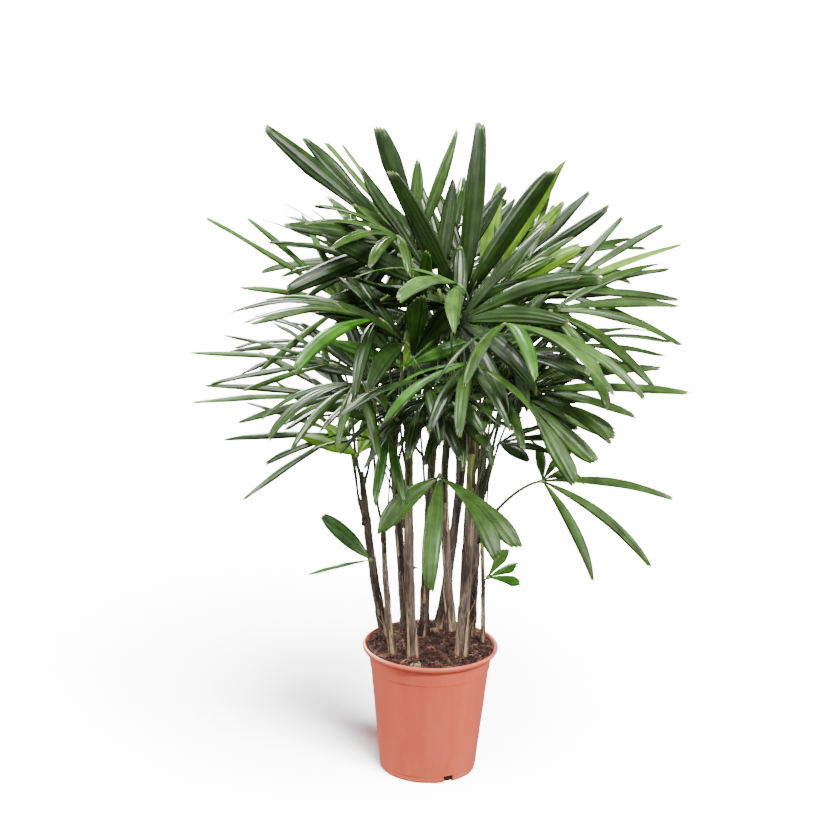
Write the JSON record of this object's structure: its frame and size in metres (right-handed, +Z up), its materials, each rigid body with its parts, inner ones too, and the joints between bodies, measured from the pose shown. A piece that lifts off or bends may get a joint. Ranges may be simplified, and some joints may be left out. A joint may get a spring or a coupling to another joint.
{
  "type": "potted lady palm",
  "caption": "Clump-forming lady palm with fibrous canes and fans of blunt pleated leaflets, in a round tapered plastic pot.",
  "frame": {"origin": "middle of the pot's flat underside, on the pot's axis", "axes": "+Z up, -Y towards the front of the plant, +X to the viewer's right"},
  "size_m": [0.836, 0.9245, 1.1635],
  "materials": {
    "pot_plastic": "moulded terracotta coloured plastic, matte with a soft sheen",
    "coir_soil": "coarse dark coir potting soil with loose fibres",
    "cane_fibre": "woody cane wrapped in coarse brown sheath fibre",
    "palm_leaf": "pleated deep green leaf with a soft gloss"
  },
  "bodies": {
    "root": {"pot": "pot_plastic", "soil": "coir_soil", "cane_1": "cane_fibre", "cane_2": "cane_fibre", "cane_3": "cane_fibre", "cane_4": "cane_fibre", "cane_5": "cane_fibre", "cane_6": "cane_fibre", "cane_7": "cane_fibre", "cane_8": "cane_fibre", "cane_9": "cane_fibre", "cane_10": "cane_fibre", "frond_01": "palm_leaf", "frond_02": "palm_leaf", "frond_03": "palm_leaf", "frond_04": "palm_leaf", "frond_05": "palm_leaf", "frond_06": "palm_leaf", "frond_07": "palm_leaf", "frond_08": "palm_leaf", "frond_09": "palm_leaf", "frond_10": "palm_leaf", "frond_11": "palm_leaf", "frond_12": "palm_leaf", "frond_13": "palm_leaf", "frond_14": "palm_leaf", "frond_15": "palm_leaf", "frond_16": "palm_leaf", "frond_17": "palm_leaf", "frond_18": "palm_leaf", "frond_19": "palm_leaf", "frond_20": "palm_leaf", "frond_21": "palm_leaf", "frond_22": "palm_leaf", "frond_23": "palm_leaf", "frond_24": "palm_leaf", "frond_25": "palm_leaf", "frond_26": "palm_leaf", "frond_27": "palm_leaf", "frond_28": "palm_leaf", "frond_29": "palm_leaf", "frond_30": "palm_leaf", "frond_31": "palm_leaf", "frond_32": "palm_leaf", "frond_33": "palm_leaf", "frond_34": "palm_leaf", "frond_35": "palm_leaf", "frond_36": "palm_leaf", "frond_37": "palm_leaf", "frond_38": "palm_leaf", "frond_39": "palm_leaf", "frond_40": "palm_leaf", "frond_41": "palm_leaf", "frond_42": "palm_leaf", "frond_43": "palm_leaf", "frond_44": "palm_leaf", "frond_45": "palm_leaf", "frond_46": "palm_leaf", "frond_47": "palm_leaf", "frond_48": "palm_leaf"}
  },
  "joints": []
}
